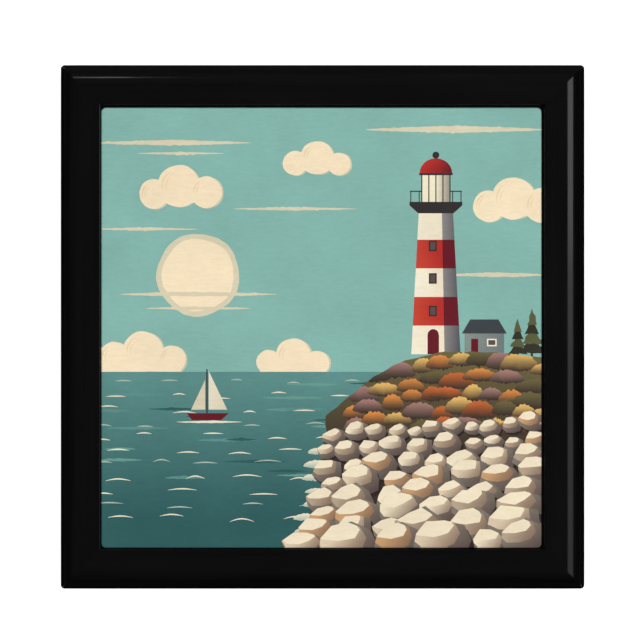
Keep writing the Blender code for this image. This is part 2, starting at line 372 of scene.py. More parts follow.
def brass_material():
    shader = Shader("polished_brass")
    rolled = shader.noise(shader.place((300, 2500, 2500)), 1.0, 3.0, 0.5)
    tarnish = shader.noise(shader.place(), 420.0, 4.0, 0.6)
    dull, warm, bright = (0.42, 0.26, 0.09), (0.74, 0.52, 0.21), (0.86, 0.66, 0.32)
    shader.wire(
        Base_Color=shader.ramp(tarnish, [(0.3, dull), (0.5, warm), (0.75, bright)]),
        Roughness=shader.span(rolled, 0.3, 0.7, 0.18, 0.36),
        Normal=shader.bump(rolled, 0.12, 0.00004),
    )
    shader.set(Metallic=1.0)
    return shader.material


def board_material():
    shader = Shader("black_fibreboard")
    dark, brown, pale = (0.008, 0.007, 0.006), (0.020, 0.017, 0.015), (0.038, 0.033, 0.029)
    chips = shader.noise(shader.place(), 900.0, 5.0, 0.65, 0.6)
    tone = shader.noise(shader.place(), 40.0, 3.0, 0.5)
    shader.wire(
        Base_Color=shader.ramp(chips, [(0.3, dark), (0.5, brown), (0.7, pale)]),
        Roughness=shader.span(tone, 0.3, 0.7, 0.75, 0.92),
        Normal=shader.bump(chips, 0.3, 0.0002),
    )
    return shader.material


def foam_material():
    shader = Shader("white_foam_tape")
    cells = shader.noise(shader.place(), 1800.0, 3.0, 0.6)
    shader.wire(
        Base_Color=shader.ramp(cells, [(0.3, grey(0.62)), (0.6, grey(0.80))]),
        Normal=shader.bump(cells, 0.5, 0.0003),
    )
    shader.set(Roughness=0.9)
    return shader.material


# Lacquered woodwork


def corner_point(depth, angle):
    """A corner of the outline, at a depth inside it, from the straight side to the mitre."""
    if depth >= CORNER_RADIUS:
        return HALF_SIDE - depth, HALF_SIDE - depth
    centre = HALF_SIDE - CORNER_RADIUS
    radius = CORNER_RADIUS - depth
    return centre + radius * math.sin(angle), centre + radius * math.cos(angle)


def mitred_side(profile):
    """The front side of a square frame, from (depth, z) points, closed up to its mitres."""
    bm = bmesh.new()
    angles = [math.radians(45 - 5 * step) for step in range(10)]
    sections = []
    for end in (-1, 1):
        for angle in angles if end < 0 else reversed(angles):
            section = []
            for depth, z in profile:
                along, outward = corner_point(depth, angle)
                section.append(bm.verts.new((end * (along - HAIR), -outward, z)))
            sections.append(section)
    for here, there in zip(sections, sections[1:]):
        for index in range(len(profile)):
            after = (index + 1) % len(profile)
            bm.faces.new((here[index], here[after], there[after], there[index]))
    bm.faces.new(sections[0])
    bm.faces.new(sections[-1])
    bmesh.ops.remove_doubles(bm, verts=bm.verts, dist=WELD)
    return bm


def rail_profile():
    panel_low, panel_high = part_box("lid_panel")
    groove_back = RAIL_WIDTH - GROOVE_DEPTH
    return [
        *arc((ARRIS, LID_BOTTOM + ARRIS), ARRIS, 270, 180, 4),
        *arc((ROUND_OVER, LID_TOP - ROUND_OVER), ROUND_OVER, 180, 90, 28),
        *arc((RAIL_WIDTH - INNER_ARRIS, LID_TOP - INNER_ARRIS), INNER_ARRIS, 90, 0, 6),
        (RAIL_WIDTH, panel_high.z + GROOVE_PLAY),
        (groove_back, panel_high.z + GROOVE_PLAY),
        (groove_back, panel_low.z - GROOVE_PLAY),
        (RAIL_WIDTH, panel_low.z - GROOVE_PLAY),
        *arc((RAIL_WIDTH - ARRIS, LID_BOTTOM + ARRIS), ARRIS, 360, 270, 3),
    ]


def wall_profile():
    panel_low, panel_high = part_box("base_panel")
    groove_back = WALL_THICKNESS - GROOVE_DEPTH
    return [
        *arc((FOOT_ROUND, WALL_BOTTOM + FOOT_ROUND), FOOT_ROUND, 270, 180, 12),
        *arc((ARRIS, WALL_TOP - ARRIS), ARRIS, 180, 90, 4),
        *arc((WALL_THICKNESS - ARRIS, WALL_TOP - ARRIS), ARRIS, 90, 0, 3),
        (WALL_THICKNESS, panel_high.z + GROOVE_PLAY),
        (groove_back, panel_high.z + GROOVE_PLAY),
        (groove_back, panel_low.z - GROOVE_PLAY),
        (WALL_THICKNESS, panel_low.z - GROOVE_PLAY),
        (WALL_THICKNESS, WALL_BOTTOM),
    ]


def back_bevel():
    """The wedge behind the hinge line that lets the lid lean back, less the stop's slack."""
    angle = (OPEN_ANGLE + STOP_SLACK) / 2
    reach = 2 * (HALF_SIDE - HINGE.y)
    drop = reach * math.tan(angle)
    back = HINGE.y + reach
    wedge = [(HINGE.y, HINGE.z), (back, HINGE.z - drop), (back, HINGE.z + drop)]
    return make_object("back_bevel", along_x(wedge, HALF_SIDE * 2.4))


def hinge_cutters(body):
    """What a hinge leaf, its barrel and its screws need cut out of the wood.

    A leaf's room runs out past the parting, so that no skin is left across it.
    """
    cutters = []
    side = 1 if body == "lid" else -1
    for hinge in ("hinge_left", "hinge_right"):
        low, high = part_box(f"{hinge}_{body}_leaf")
        middle = (low + high) / 2
        length = high.x - low.x + 2 * GAP
        barrel = rod(KNUCKLE_RADIUS + BARREL_CLEARANCE, length, 40)
        cutters.append(make_object("barrel_room", barrel, location=(middle.x, HINGE.y, HINGE.z)))
        depth = LEAF_THICKNESS + GAP * 3.5
        width = HINGE.y - low.y + GAP
        room = box((length, width, depth))
        place = (middle.x, HINGE.y - width / 2, HINGE.z + side * (depth / 2 - GAP))
        cutters.append(make_object("leaf_room", room, location=place))
        for end in ("left", "right"):
            spot, size = place_of(f"{hinge}_{body}_screw_{end}")
            hole = box((SCREW_RADIUS * 2.4, SCREW_RADIUS * 2.4, size.z + GAP * 2))
            cutters.append(make_object("screw_room", hole, location=spot))
    return cutters


def build_woodwork(prefix, body, profile, lacquer, wedge):
    rooms = hinge_cutters(body)
    for side, quarter_turns in SIDES.items():
        name = f"{prefix}_{side}"
        turn = quarter_turns * math.pi / 2
        piece = make_object(f"lacquered_{name}", mitred_side(profile), lacquer, turn_z=turn)
        if side != "front":
            cut(piece, [wedge])
        if side == "back":
            cut(piece, rooms)
        settle(piece)
        bevel(piece, CREASE, angle=32.0)
        even_normals(piece)
        stand_for(piece, name, body)
    discard(rooms)


# Boards, pads, felt and feet


def build_board(node, body, material, edge):
    """A flat piece with eased edges."""
    middle, size = place_of(node)
    piece = make_object(f"{node}_board", box(size), material, middle)
    bevel(piece, edge, 3)
    even_normals(piece)
    stand_for(piece, node, body)


def felt_slab(size, seed):
    """A felt sheet with its thin way along Z: a soft-edged slab with an uneven nap."""
    width, length, thickness = size
    bm = bmesh.new()
    across, along = round(width / FELT_CELL), round(length / FELT_CELL)
    edge = thickness * 0.45
    rows = {}
    for level in (-1, 1):
        for i in range(across + 1):
            for j in range(along + 1):
                x = (i / across - 0.5) * width
                y = (j / along - 0.5) * length
                inset = min(width / 2 - abs(x), length / 2 - abs(y))
                drop = edge if inset < HAIR else 0.0
                z = level * (thickness / 2 - FELT_NAP - drop)
                wave = noise.noise(Vector((x * 90 + seed, y * 90, level * 5.0)))
                fuzz = noise.noise(Vector((x * 700, y * 700 + seed, level * 9.0)))
                z += level * FELT_NAP * (0.6 * wave + 0.4 * fuzz)
                rows[level, i, j] = bm.verts.new((x, y, z))
    for level in (-1, 1):
        for i in range(across):
            for j in range(along):
                ring = [(i, j), (i + 1, j), (i + 1, j + 1), (i, j + 1)]
                bm.faces.new([rows[(level, *corner)] for corner in ring])
    rim = [(i, 0) for i in range(across)] + [(across, j) for j in range(along)]
    rim += [(i, along) for i in range(across, 0, -1)] + [(0, j) for j in range(along, 0, -1)]
    for here, there in zip(rim, rim[1:] + rim[:1]):
        bm.faces.new([rows[(-1, *here)], rows[(-1, *there)], rows[(1, *there)], rows[(1, *here)]])
    return bm


def build_felt(node, body, felt, seed):
    middle, size = place_of(node)
    thin = min(range(3), key=lambda axis: size[axis])
    flat = [size[axis] for axis in range(3) if axis != thin]
    bm = felt_slab((*flat, size[thin]), seed)
    piece = make_object(f"{node}_felt", bm, felt, middle, smooth=80.0)
    if thin == 1:
        piece.rotation_euler = (math.pi / 2, 0, 0)
    if thin == 0:
        piece.rotation_euler = (math.pi / 2, 0, math.pi / 2)
    stand_for(piece, node, body)


def build_foot(node, felt, seed):
    middle, size = place_of(node)
    radius, height = size.x / 2, size.z
    edge = height * 0.3
    profile = [
        (0, 0),
        (radius * 0.5, 0),
        *arc((radius - edge, edge), edge, 270, 360, 6),
        *arc((radius - edge, height - edge), edge, 0, 90, 6),
        (radius * 0.5, height),
        (0, height),
    ]
    bm = turned(profile, 72)
    for vert in bm.verts:
        reach = Vector((vert.co.x, vert.co.y))
        if reach.length > radius * 0.6:
            fuzz = noise.noise(vert.co * 1500 + Vector((seed, 0, 0)))
            vert.co.x -= reach.x * 0.02 * (1 + fuzz)
            vert.co.y -= reach.y * 0.02 * (1 + fuzz)
    bottom = (middle.x, middle.y, middle.z - height / 2)
    foot = make_object(f"{node}_felt", bm, felt, bottom, smooth=80.0)
    stand_for(foot, node, "base")


# Hinges


def rod(radius, length, segments):
    step = 360 / segments
    return along_x(arc((0, 0), radius, 0, 360 - step, segments - 1), length)


def leaf_outline(side):
    """Leaf and knuckle in one (y, z) outline. Side is -1 below the parting and 1 above."""
    near = side * GAP / 2
    far = side * (GAP / 2 + LEAF_THICKNESS)
    start = math.degrees(math.asin(abs(near) / KNUCKLE_RADIUS))
    end = 360 - math.degrees(math.asin(abs(far) / KNUCKLE_RADIUS))
    points = [(-LEAF_WIDTH, far), (-LEAF_WIDTH, near)]
    for across, up in arc((0, 0), KNUCKLE_RADIUS, -start, end, 48):
        points.append((-across, -side * up))
    return points


def knuckle_gaps(first, length):
    """Boxes over every other knuckle, where the other leaf's knuckles go."""
    bm = bmesh.new()
    pitch = length / KNUCKLES
    depth = 2 * (KNUCKLE_RADIUS + GAP)
    for knuckle in range(first, KNUCKLES, 2):
        low = pitch * knuckle - length / 2 - HARDWARE_GAP
        high = low + pitch + 2 * HARDWARE_GAP
        low -= pitch * (knuckle == 0)
        high += pitch * (knuckle == KNUCKLES - 1)
        add_box(bm, (high - low, depth, depth), (high + low) / 2)
    return bm


def corner_trim(end, length):
    """What rounding one far corner takes off a leaf."""
    tip = (end * length / 2, -LEAF_WIDTH)
    beyond = (tip[0] + end * LEAF_CORNER, tip[1] - LEAF_CORNER)
    centre = (tip[0] - end * LEAF_CORNER, tip[1] + LEAF_CORNER)
    outline = [(beyond[0], centre[1]), beyond, (centre[0], beyond[1])]
    outline += arc(centre, LEAF_CORNER, 270, 270 + end * 90, 10)
    return extruded([(x, y, -KNUCKLE_RADIUS) for x, y in outline], (0, 0, 1), 2 * KNUCKLE_RADIUS)


def countersink():
    """Profile of the room that a screw takes up in its leaf."""
    head, shank = SCREW_HEAD_RADIUS + HARDWARE_GAP, SCREW_RADIUS + HARDWARE_GAP
    cone = [(0, GAP), (head, GAP), (head, 0), (shank, shank - head)]
    return [*cone, (shank, -SCREW_LENGTH), (0, -SCREW_LENGTH)]


def screw_thread():
    """Profile of a screw: a flat head with an eased rim, and a shank with shallow grooves."""
    points = [(0, 0), (SCREW_HEAD_RADIUS - SCREW_EASE, 0), (SCREW_HEAD_RADIUS, -SCREW_EASE)]
    points.append((SCREW_RADIUS * 0.8, SCREW_RADIUS * 0.8 - SCREW_HEAD_RADIUS - SCREW_EASE))
    depth = points[-1][1] - THREAD_PITCH
    end = -SCREW_LENGTH + 2 * SCREW_RADIUS
    while depth > end:
        points.append((SCREW_RADIUS * 0.72, depth))
        points.append((SCREW_RADIUS, depth - THREAD_PITCH / 2))
        depth -= THREAD_PITCH
    points.append((SCREW_RADIUS * 0.6, end - SCREW_RADIUS))
    points.append((0, -SCREW_LENGTH))
    return points


def screw_head(node, side):
    """The middle of a screw's head, which faces the parting."""
    low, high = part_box(node)
    return ((low.x + high.x) / 2, (low.y + high.y) / 2, high.z if side < 0 else low.z)


def build_screw(node, body, side, brass, turn):
    place = screw_head(node, side)
    recess = bmesh.new()
    add_box(recess, (CROSS_LENGTH, CROSS_WIDTH, CROSS_DEPTH * 2))
    add_box(recess, (CROSS_WIDTH, CROSS_LENGTH, CROSS_DEPTH * 2))
    screw = make_object(f"{node}_threaded", turned(screw_thread(), 32), brass, place)
    cross = make_object("cross_recess", recess, location=place)
    for item in (screw, cross):
        item.rotation_euler = (math.pi if side > 0 else 0, 0, turn)
    cut(screw, [cross])
    screw.modifiers[-1].use_self = True
    settle(screw)
    discard([cross])
    stand_for(screw, node, body)


def build_leaf(hinge, body, brass, bore):
    side = 1 if body == "lid" else -1
    node = f"{hinge}_{body}_leaf"
    low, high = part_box(node)
    place = ((low.x + high.x) / 2, HINGE.y, HINGE.z)
    length = high.x - low.x
    leaf = make_object(f"{node}_brass", along_x(leaf_outline(side), length), brass, place)
    cutters = [make_object("knuckle_gaps", knuckle_gaps(int(side < 0), length), location=place)]
    for end, end_name in ((-1, "left"), (1, "right")):
        cutters.append(make_object("corner_trim", corner_trim(end, length), location=place))
        spot = screw_head(f"{hinge}_{body}_screw_{end_name}", side)
        sink = make_object("countersink", turned(countersink(), 40), location=spot)
        sink.rotation_euler.x = math.pi if side > 0 else 0
        cutters.append(sink)
    cut(leaf, [bore, *cutters])
    settle(leaf)
    bevel(leaf, BRASS_EDGE)
    even_normals(leaf)
    discard(cutters)
    stand_for(leaf, node, body)


def build_hinge(hinge, brass, rng):
    middle, size = place_of(f"{hinge}_pin")
    radius, half = size.z / 2, size.x / 2
    bore = make_object("bore", rod(radius + HARDWARE_GAP, size.x * 1.2, 40), location=middle)
    for body, side in (("base", -1), ("lid", 1)):
        build_leaf(hinge, body, brass, bore)
        for end in ("left", "right"):
            screw = f"{hinge}_{body}_screw_{end}"
            build_screw(screw, body, side, brass, rng.uniform(0, math.pi))
    discard([bore])
    tip = radius / 2
    profile = [(0, -half), *arc((radius - tip, tip - half), tip, 270, 360, 5)]
    profile += [*arc((radius - tip, half - tip), tip, 0, 90, 5), (0, half)]
    pin = make_object(f"{hinge}_pin_brass", turned(profile, 32), brass, middle)
    pin.rotation_euler.y = math.pi / 2
    stand_for(pin, f"{hinge}_pin", "base")


# The picture on the tile: a generic seaside view in flat poster colours.
# Its canvas is 100 wide and 100 high, with the origin at the lower left.

PALETTE = {
    "sky": (135, 185, 175),
    "streak": (220, 210, 180),
    "cloud": (250, 230, 195),
    "cloud_warm": (240, 215, 175),
    "cloud_shade": (215, 205, 175),
    "sea": (95, 145, 140),
    "sea_deep": (50, 95, 95),
    "sea_light": (105, 155, 145),
    "foam": (240, 230, 205),
    "foam_shade": (175, 190, 175),
    "stone_light": (245, 230, 200),
    "stone": (225, 205, 175),
    "stone_mid": (185, 165, 140),
    "stone_grey": (130, 120, 110),
    "stone_warm": (205, 160, 115),
    "stone_brown": (115, 90, 75),
    "shade": (50, 40, 40),
    "shade_soft": (80, 65, 60),
    "orange": (220, 140, 70),
    "rust": (200, 105, 55),
    "gold": (230, 185, 105),
    "heather": (165, 125, 115),
    "moss": (110, 100, 65),
    "thicket": (60, 50, 45),
    "tower": (250, 240, 215),
    "tower_warm": (235, 220, 190),
    "tower_dusk": (150, 145, 140),
    "tower_shade": (80, 80, 90),
    "iron": (55, 50, 50),
    "iron_pale": (130, 120, 110),
    "lamp_glass": (245, 235, 205),
    "red": (185, 50, 45),
    "red_bright": (205, 75, 55),
    "red_dark": (105, 30, 40),
    "wall": (115, 125, 125),
    "wall_light": (135, 145, 140),
    "wall_shade": (65, 70, 75),
    "trim": (245, 235, 210),
    "pane": (95, 80, 75),
    "pine": (95, 95, 65),
    "pine_dark": (55, 55, 45),
}


class Canvas:
    """Shapes in painter's order, each in one colour or fading to a second one.

    A shape can be clipped to an earlier one, named by the number that paint returned for it.
    """

    def __init__(self, seed):
        self.rng = random.Random(seed)
        self.shapes = []
        self.origin = (0, 0)

    def at(self, x, y):
        """The shapes that follow are placed from this point."""
        self.origin = (x, y)

    def placed(self, points):
        return [(self.origin[0] + x, self.origin[1] + y) for x, y in points]

    def paint(self, points, colour, clip=None, fade=None):
        """A fade is (second colour, the point where it starts, the point where it is complete).

        The outline is turned anticlockwise, and starts mid-side, away from pointed ends that may cross.
        """
        area = sum(a[0] * b[1] - b[0] * a[1] for a, b in zip(points, points[1:] + points[:1]))
        outline = self.placed(points if area > 0 else points[::-1])
        start = len(outline) // 4
        fade = fade and (fade[0], *self.placed(fade[1:]))
        self.shapes.append((outline[start:] + outline[:start], colour, clip, fade))
        return len(self.shapes) - 1

    def wobble(self, size):
        return self.rng.gauss(0, size)

    def torn(self, points, size, step):
        """A closed outline with extra points along its sides, pushed a little off line."""
        outline = []
        for here, there in zip(points, points[1:] + points[:1]):
            gap = math.dist(here, there)
            count = max(1, int(gap / step))
            for index in range(count):
                share = index / count
                push = self.wobble(size) if index else 0.0
                across = ((there[1] - here[1]) / gap, (here[0] - there[0]) / gap)
                x = here[0] + (there[0] - here[0]) * share + across[0] * push
                y = here[1] + (there[1] - here[1]) * share + across[1] * push
                outline.append((x, y))
        return outline

    def streak(self, start, end, y, thick, colour, clip=None):
        """A dry brush stroke: pointed at both ends, thickest half way."""
        count = max(10, int((end - start) / 0.7))
        upper, lower = [], []
        for index in range(count + 1):
            share = index / count
            half = thick / 2 * (2 * min(share, 1 - share)) ** 0.7
            x = start + (end - start) * share
            ragged = 0.1 * min(1.0, 4 * half)
            upper.append((x, y + half + abs(self.wobble(ragged)) + 0.01))
            lower.append((x, y - half * 0.8 - abs(self.wobble(ragged)) - 0.01))
        return self.paint(lower + upper[::-1], colour, clip)

    def puff(self, x, y, radius, colour, clip=None):
        """A round cloud head with a slightly uneven rim."""
        count = max(14, int(radius * 7))
        phase, lobes = self.rng.uniform(0, math.tau), self.rng.choice((3, 4, 5))
        points = []
        for index in range(count):
            angle = math.tau * index / count
            reach = radius * (1 + 0.018 * math.sin(lobes * angle + phase) + self.wobble(0.004))
            points.append((x + reach * math.cos(angle), y + reach * math.sin(angle)))
        return self.paint(points, colour, clip)

    def crescent(self, x, y, radius, start, end, thick, colour):
        """A brushed arc that thins to nothing at both ends."""
        outer, inner = [], []
        for index in range(15):
            share = index / 14
            angle = math.radians(start + (end - start) * share)
            half = thick / 2 * math.sin(math.pi * share) + 0.015
            for ring, reach in ((outer, radius + half), (inner, radius - half)):
                ring.append((x + reach * math.cos(angle), y + reach * math.sin(angle)))
        return self.paint(outer + inner[::-1], colour)

    def bar(self, start, end, thick, colour):
        """A straight line with a width."""
        along = (end[0] - start[0], end[1] - start[1])
        half = thick / 2 / math.hypot(*along)
        side = (-along[1] * half, along[0] * half)
        corners = [(start[0] + side[0], start[1] + side[1]), (start[0] - side[0], start[1] - side[1])]
        corners += [(end[0] - side[0], end[1] - side[1]), (end[0] + side[0], end[1] + side[1])]
        return self.paint(corners, colour)

    def rect(self, low, high, colour, clip=None, fade=None):
        corners = [low, (high[0], low[1]), high, (low[0], high[1])]
        return self.paint(corners, colour, clip, fade)

    def clump(self, x, y, width, height, colour, under, bumps, clip=None):
        """A leafy mass with a lumpy top that darkens towards its foot."""
        top, foot = [], []
        count = bumps * 4
        phase = self.rng.uniform(0, math.tau)
        for index in range(count + 1):
            share = index / count
            dome = math.sin(math.pi * share) ** 0.55
            lump = 0.88 + 0.10 * abs(math.sin(math.pi * bumps * share + phase)) + self.wobble(0.035)
            across = x + width * (share - 0.5) + self.wobble(width * 0.008)
            top.append((across, y + height * dome * lump))
            foot.append((across, y - height * 0.28 * dome * (1 + self.wobble(0.2)) - 0.02))
        fade = (under, (x, y + height * 0.75), (x, y - height * 0.25))
        return self.paint(foot + top[::-1], colour, clip, fade)


def paint_cumulus(canvas, puffs, foot, ends):
    """Round heads over a flat foot, with a dusky rim on their right and brushed folds inside."""
    for x, y, radius in puffs:
        canvas.puff(x + 0.4, y - 0.1, radius, "cloud_shade")
    for x, y, radius in puffs:
        canvas.puff(x, y, radius, "cloud")
    left, right = ends
    top = max(foot + 0.6, min(y for x, y, radius in puffs))
    outline = [(left, foot), (right, foot), (right - 1.5, top), (left + 1.5, top)]
    canvas.paint(canvas.torn(outline, 0.05, 1.5), "cloud")
    for x, y, radius in puffs:
        if radius > 3:
            turn = canvas.rng.uniform(95, 130)
            canvas.crescent(x, y, radius * 0.78, turn, turn + 75, 0.3, "cloud_warm")
            canvas.crescent(x, y, radius * 0.60, turn + 12, turn + 80, 0.2, "cloud_warm")


def paint_sky(canvas):
    """An evenly coloured sky with a low sun and a few thin bands of haze."""
    canvas.rect((-2, -2), (102, 102), "sky")
    canvas.puff(22, 62, 9.4, "streak")
    canvas.puff(22, 62, 8.2, "cloud")
    for start, end, y, thick in (
        (-2, 34, 92, 1.2),
        (8, 28, 89.6, 0.5),
        (60, 101, 95, 1.6),
        (4, 40, 57.6, 1.0),
        (10, 34, 54.4, 0.7),
        (-2, 22, 72.4, 0.6),
        (78, 101, 62, 1.0),
        (30, 58, 77, 0.7),
    ):
        canvas.streak(start, end, y, thick, "streak")


def paint_clouds(canvas):
    for puffs, foot, ends in (
        ([(12, 80.4, 3.4), (17.6, 82.2, 4.8), (23.8, 80.8, 3.6)], 78.4, (10, 26)),
        ([(44, 87.4, 2.8), (49, 88.6, 3.8), (54, 87.2, 2.6)], 85.8, (42.4, 55.6)),
        ([(88, 77.6, 3.6), (93.6, 79.4, 4.8), (100, 77.8, 4.0)], 75.4, (85.6, 103)),
        ([(3, 43.2, 3.6), (9.4, 44.6, 4.6), (16, 42.8, 3.2)], 40.0, (-2, 18.2)),
        ([(38, 42.2, 2.8), (43.6, 43.6, 4.0), (49, 42.0, 2.8)], 40.0, (36, 51)),
    ):
        paint_cumulus(canvas, puffs, foot, ends)


def paint_sea(canvas):
    """Open water right across, with rows of crests that grow towards the shore."""
    rng = canvas.rng
    sea = canvas.rect((-2, -2), (102, 40), "sea", fade=("sea_deep", (0, 38), (0, 8)))
    for _ in range(40):
        start, y = rng.uniform(-4, 80), rng.uniform(4, 38)
        colour = rng.choice(("sea_light", "sea_deep", "sea"))
        canvas.streak(start, start + rng.uniform(7, 16), y, 0.6, colour, sea)
    for row in range(11):
        y = 37.6 - 3.1 * row
        x = rng.uniform(-3, 4)
        while x < 98:
            width = rng.uniform(2.4, 5.0) + 0.25 * row
            lift = rng.uniform(0.15, 0.5) * (0.5 + row * 0.1)
            level = y + rng.uniform(-0.8, 0.8)
            crest, under = [], []
            for index in range(9):
                share = index / 8
                bend = math.sin(math.pi * share) * lift
                swell = 0.10 * math.sin(math.pi * share) + 0.02
                crest.append((x + width * share, level + bend + swell))
                under.append((x + width * share, level + bend - swell * 1.6))
            canvas.paint(under + crest[::-1], "foam" if row % 3 else "foam_shade", sea)
            x += width + rng.uniform(5.0, 13.0)


def paint_boat(canvas):
    """A small sailing boat with two plain sails."""
    canvas.at(24, 29)
    canvas.paint([(-4.6, 1.6), (-3.4, 0), (3.2, 0), (5.0, 1.6)], "red_dark")
    canvas.bar((0, 1.6), (0, 11.6), 0.3, "iron")
    canvas.paint([(0.4, 2.4), (4.6, 2.4), (0.4, 11.2)], "foam", None, ("streak", (0.4, 6), (4.6, 2.4)))
    canvas.paint([(-0.4, 2.4), (-3.6, 2.4), (-0.4, 9.2)], "streak")
    canvas.streak(-7, 8, -0.4, 0.5, "foam")


def paint_rock(canvas, x, y, radius, tone="stone"):
    """A faceted boulder: a dark foot, a dusky body and a lit upper left face."""
    rng = canvas.rng
    ring = []
    for index in range(9):
        angle = math.tau * index / 9
        reach = radius * rng.uniform(0.82, 1.1)
        ring.append((x + 1.3 * reach * math.cos(angle), y + reach * math.sin(angle)))
    foot = [(across + radius * 0.14, up - radius * 0.22) for across, up in ring]
    canvas.paint(canvas.torn(foot, 0.04, 1.8), "shade")
    fade = ("shade_soft", (x, y + radius * 0.4), (x + radius, y - radius))
    body = canvas.paint(canvas.torn(ring, 0.04, 1.8), "stone_grey", None, fade)
    face = [(x + (a - x) * 0.84 - radius * 0.28, y + (b - y) * 0.7 + radius * 0.32) for a, b in ring]
    fade = ("stone_brown", (x - radius * 0.4, y + radius * 0.5), (x + radius * 0.9, y - radius * 0.5))
    face = canvas.paint(canvas.torn(face, 0.04, 1.6), tone, body, fade)
    edge = [(x + (a - x) * 0.8 - radius * 0.5, y + (b - y) * 0.5 + radius * 0.66) for a, b in ring]
    canvas.paint(canvas.torn(edge, 0.04, 1.6), "stone_light", face)


def shore(y):
    """Where the headland's right-to-left slope meets the water, at a height."""
    return 47 - 0.030 * max(0.0, y) ** 1.75 + 0.55 * max(0.0, y)


def paint_headland(canvas):
    """A rounded hill on the right that slopes down to the water on its left."""
    slope = [(shore(y) - 1.0, y) for y in range(-2, 34, 4)]
    crown = [(62, 39), (69, 42.6), (78, 44.6), (90, 44.4), (102, 43.0), (102, -2)]
    hill = canvas.paint(canvas.torn(slope + crown, 0.12, 1.5), "moss", None, ("thicket", (0, 42), (0, 20)))
    rng = canvas.rng
    colours = ("orange", "gold", "moss", "rust", "heather")
    for row in range(5):
        x = 60 - 1.5 * row + rng.uniform(0, 3)
        while x < 103:
            width = rng.uniform(5.0, 9.0)
            y = 41.4 - 3.6 * row - 0.006 * (x - 84) ** 2 + rng.uniform(-0.8, 0.8)
            canvas.clump(x, y, width, rng.uniform(2.2, 3.4), rng.choice(colours), "thicket", 6, hill)
            x += width * rng.uniform(0.6, 0.85)


def paint_rocks(canvas):
    """Boulders in rows down to the water, larger towards the foot of the picture."""
    rng = canvas.rng
    tones = ("stone", "stone_mid", "stone", "stone_warm", "stone_light")
    for row in range(8):
        y = 25.5 - 3.7 * row
        radius = 2.0 + 0.36 * row
        x = shore(max(0.0, y)) + rng.uniform(-1.5, 1.0)
        while x < 103:
            size = radius * rng.uniform(0.8, 1.25)
            level = y + rng.uniform(-0.8, 0.8) + 0.05 * (x - 50)
            paint_rock(canvas, x, level, size, rng.choice(tones))
            x += size * rng.uniform(1.9, 2.5)


def paint_foam(canvas):
    """Broken water along the foot of the rocks."""
    rng = canvas.rng
    for step in range(9):
        y = 24.0 - 3.0 * step
        x = shore(max(0.0, y)) - 3.6 + rng.uniform(-1.0, 1.0)
        canvas.clump(x, y - 2.4, rng.uniform(4, 7), rng.uniform(1.0, 1.7), "foam", "foam_shade", 5)


def paint_fir(canvas, x, foot, width, height):
    """A plain conifer: overlapping triangles with ragged lower edges."""
    canvas.bar((x, foot - 0.6), (x, foot + height * 0.3), width * 0.09, "pine_dark")
    for tier in range(4):
        low = foot + height * (0.12 + 0.2 * tier)
        half = width / 2 * (1 - 0.2 * tier)
        outline = [(x - half, low), (x + half, low), (x, low + height * 0.36)]
        canvas.paint(canvas.torn(outline, 0.12, 0.8), "pine" if tier % 2 else "pine_dark")


def paint_trees(canvas):
    for x, width, height in ((94.6, 4.6, 8.4), (97.8, 5.6, 10.6)):
        paint_fir(canvas, x, 43.0, width, height)


def paint_tower(canvas):
    """A banded tower with three windows in a column and a door."""
    foot_half, neck_half, height = 5.6, 3.9, 32.0

    def across(share, y):
        """A point across the tower's face, from -1 at its left side to 1 at its right."""
        return ((foot_half + (neck_half - foot_half) * y / height) * share, y)

    def band(low, high, left, right):
        return [across(left, low), across(right, low), across(right, high), across(left, high)]

    canvas.at(76, 44)
    tower = canvas.paint(band(0, height, -1, 1), "tower", None, ("tower_warm", (-4, 0), (5, 0)))
    for low, high in ((6.5, 13.0), (19.5, 26.0)):
        canvas.paint(band(low, high, -1.02, 1.02), "red", tower, ("red_bright", (0, 0), (-5, 0)))
        canvas.paint(band(low, high, 0.35, 1.02), "red_dark", tower)
    for low, high in ((0, 6.5), (13.0, 19.5), (26.0, height)):
        canvas.paint(band(low, high, 0.35, 1.02), "tower_dusk", tower, ("tower_shade", (1, 0), (6, 0)))
    for y in (8.6, 16.0, 23.4):
        canvas.rect((-1.6, y), (0.2, y + 2.4), "iron", tower)
        canvas.rect((-1.3, y + 0.3), (-0.1, y + 2.1), "pane", tower)
    canvas.rect((-1.9, 0), (0.7, 4.4), "red_dark", tower)
    canvas.puff(-0.6, 4.4, 1.3, "red_dark", tower)


def paint_lantern(canvas):
    """A round deck with a plain rail, a glazed lamp room and a domed roof with a ball."""
    canvas.at(76, 76)
    canvas.paint([(-4.0, 0), (4.0, 0), (6.0, 1.8), (6.0, 2.6), (-6.0, 2.6), (-6.0, 1.8)], "iron")
    for step in range(7):
        x = -5.7 + 1.9 * step
        canvas.bar((x, 2.6), (x, 5.0), 0.22, "iron")
    canvas.bar((-5.9, 5.0), (5.9, 5.0), 0.26, "iron")
    canvas.rect((-3.2, 2.6), (3.2, 8.8), "lamp_glass", None, ("iron_pale", (0, 0), (4, 0)))
    for step in range(5):
        x = -3.2 + 1.6 * step
        canvas.bar((x, 2.6), (x, 8.8), 0.26, "iron")
    canvas.bar((-3.8, 8.9), (3.8, 8.9), 0.5, "iron")
    dome = []
    for step in range(13):
        angle = math.pi * step / 12
        dome.append((3.7 * math.cos(angle), 9.1 + 3.4 * math.sin(angle)))
    canvas.paint(dome, "red", None, ("red_dark", (0, 0), (3, 0)))
    canvas.puff(0, 13.2, 0.8, "iron")


